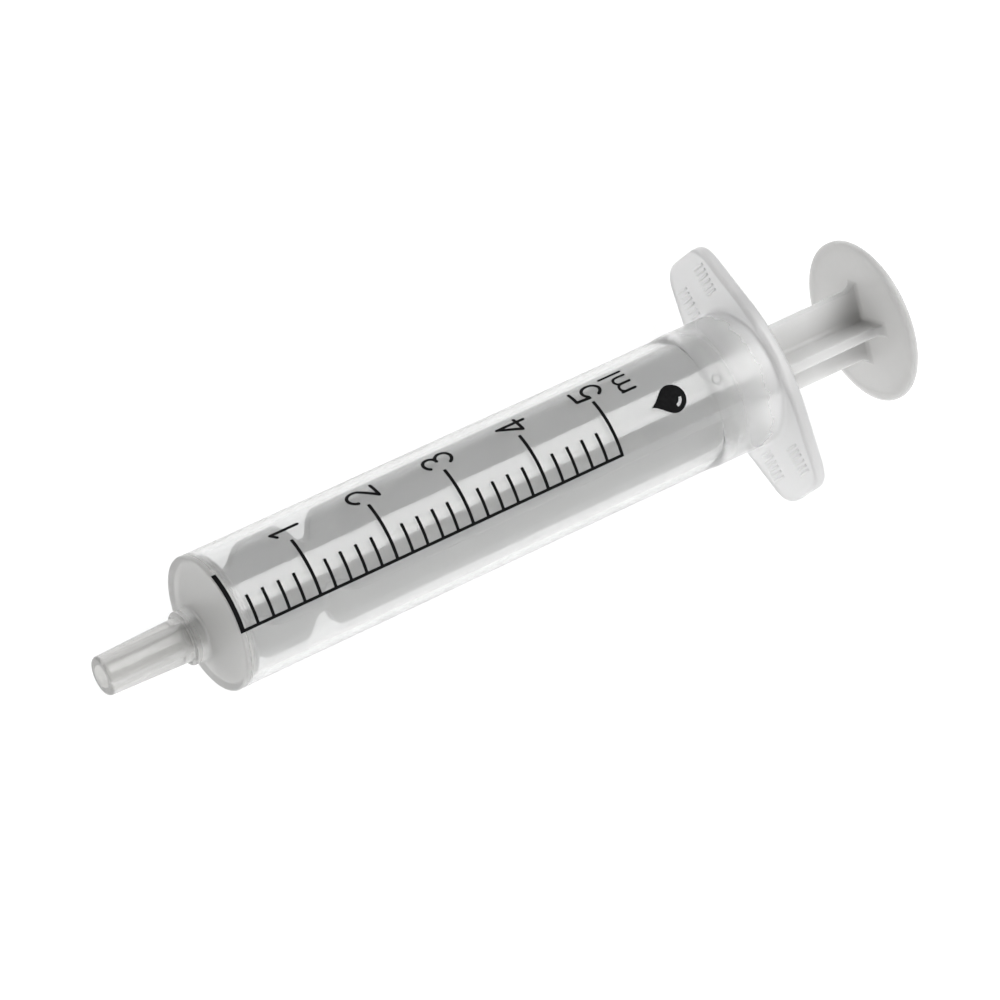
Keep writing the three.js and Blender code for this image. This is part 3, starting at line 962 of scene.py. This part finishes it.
def floor_surface():
    """A white table that glows, as a light table does."""
    nodes = Nodes("white_table")
    nodes.fix(
        {
            "Base Color": (0.3, 0.3, 0.3, 1),
            "Roughness": 0.9,
            "Specular IOR Level": 0.0,
            "Emission Color": (1, 1, 1, 1),
            "Emission Strength": FLOOR_GLOW,
        }
    )
    return nodes.material


# ---- Pieces on their bodies ---------------------------------------------------------------


def finished(piece, node, body, material):
    """Puts a piece in the frame, in place of its node."""
    in_frame(piece)
    piece.data.materials.clear()
    piece.data.materials.append(material)
    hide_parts(node)
    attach(piece, body)


def add_print():
    """Every printed piece, in place of its node."""
    ink = black_ink()
    finished(scale_ladder(), "scale_ladder", "barrel", ink)
    for numeral in range(1, CAPACITY_ML + 1):
        node = f"numeral_{numeral}"
        flat = glyph(f"ink_{node}", numeral_strokes(numeral), NUMERAL_STROKE)
        finished(wrapped(flat, base_station(node), NUMERAL_ANGLE), node, "barrel", ink)
    for node, strokes in unit_strokes().items():
        flat = glyph(f"ink_{node}", strokes, UNIT_STROKE)
        finished(wrapped(flat, base_station(node), UNIT_ANGLE), node, "barrel", ink)
    finished(drop_mark(), "drop_mark", "barrel", ink)


# ---- Studio -------------------------------------------------------------------------------

# Distances and sizes in metres, the lens in millimetres, angles in degrees, light in watts
CAMERA_DISTANCE = 0.5315
CAMERA_AZIMUTH = 190.7
CAMERA_ELEVATION = 63.9
CAMERA_ROLL = 53.25
CAMERA_TARGET = Vector((FRONT_X + 32.645, -0.98, AXIS_Z)) * MM
CAMERA_LENS = 201.4
SOFTBOXES = {
    "overhead": {
        "azimuth": 21.4, "elevation": 62.4, "distance": 0.6, "size": (0.36, 0.43), "power": 2.3
    },
    "front": {
        "azimuth": 258, "elevation": 30, "distance": 0.8, "size": (0.8, 0.5), "power": 2.0
    },
}
SKY_AT_HORIZON = 0.5
SKY_OVERHEAD = 0.12
SKY_TOWARDS_MINUS_Y = 1.7
SKY_TOWARDS_PLUS_Y = 0.5
FLOOR_HALF_SIZE = 1.5
FLOOR_GLOW = 0.88


def direction(azimuth, elevation):
    """A unit vector, from an azimuth and an elevation in degrees."""
    turn, rise = math.radians(azimuth), math.radians(elevation)
    level = math.cos(rise)
    return Vector((level * math.cos(turn), level * math.sin(turn), math.sin(rise)))


def add_camera():
    """The camera, above the nozzle's end and rolled to one side."""
    data = bpy.data.cameras.new("camera")
    data.lens = CAMERA_LENS
    data.sensor_width = 36
    camera = bpy.data.objects.new("camera", data)
    bpy.context.scene.collection.objects.link(camera)
    outward = direction(CAMERA_AZIMUTH, CAMERA_ELEVATION)
    aim = (-outward).to_track_quat("-Z", "Y").to_matrix()
    turn = aim @ Matrix.Rotation(math.radians(CAMERA_ROLL), 3, "Z")
    place = Matrix.Translation(CAMERA_TARGET + outward * CAMERA_DISTANCE)
    camera.matrix_world = place @ turn.to_4x4()
    bpy.context.scene.camera = camera


def add_softbox(name, azimuth, elevation, distance, size, power):
    """A rectangular softbox aimed at the syringe, with its first side along X where it can be."""
    data = bpy.data.lights.new(name, "AREA")
    data.shape = "RECTANGLE"
    data.size, data.size_y = size
    data.energy = power
    light = bpy.data.objects.new(name, data)
    bpy.context.scene.collection.objects.link(light)
    outward = direction(azimuth, elevation)
    across = outward.cross(Vector((1, 0, 0))).normalized()
    along = across.cross(outward)
    turn = Matrix((along, across, outward)).transposed()
    light.matrix_world = Matrix.Translation(outward * distance) @ turn.to_4x4()


def add_floor():
    """A plain floor at the height that the syringe lies on."""
    half = FLOOR_HALF_SIZE
    bm = bmesh.new()
    corners = [(-half, -half, 0), (half, -half, 0), (half, half, 0), (-half, half, 0)]
    bm.faces.new([bm.verts.new(corner) for corner in corners])
    floor = piece_from(bm, "floor")
    floor.data.materials.append(floor_surface())


def add_sky():
    """A plain white surround, brightest at the horizon and towards -Y."""
    world = bpy.data.worlds.new("studio")
    world.use_nodes = True
    tree = world.node_tree
    place = tree.nodes.new("ShaderNodeTexCoord")
    split = tree.nodes.new("ShaderNodeSeparateXYZ")
    tree.links.new(place.outputs["Generated"], split.inputs["Vector"])

    def graded(axis, start, low, high):
        """A strength that goes from low, where the axis reads start, to high, where it reads 1."""
        grade = tree.nodes.new("ShaderNodeMapRange")
        grade.inputs["From Min"].default_value = start
        grade.inputs["To Min"].default_value = low
        grade.inputs["To Max"].default_value = high
        tree.links.new(split.outputs[axis], grade.inputs["Value"])
        return grade.outputs["Result"]

    strength = tree.nodes.new("ShaderNodeMath")
    strength.operation = "MULTIPLY"
    tree.links.new(graded("Z", 0, SKY_AT_HORIZON, SKY_OVERHEAD), strength.inputs[0])
    tree.links.new(graded("Y", -1, SKY_TOWARDS_MINUS_Y, SKY_TOWARDS_PLUS_Y), strength.inputs[1])
    background = tree.nodes["Background"]
    background.inputs["Color"].default_value = (1, 1, 1, 1)
    tree.links.new(strength.outputs[0], background.inputs["Strength"])
    bpy.context.scene.world = world
    bpy.context.scene.view_settings.view_transform = "Standard"


# ---- Assembly -----------------------------------------------------------------------------

finished(barrel(), "barrel", "barrel", clear_plastic())
finished(plunger(), "plunger", "plunger", milky_plastic())
add_print()
add_floor()
add_camera()
add_sky()
for name, softbox in SOFTBOXES.items():
    add_softbox(name, **softbox)
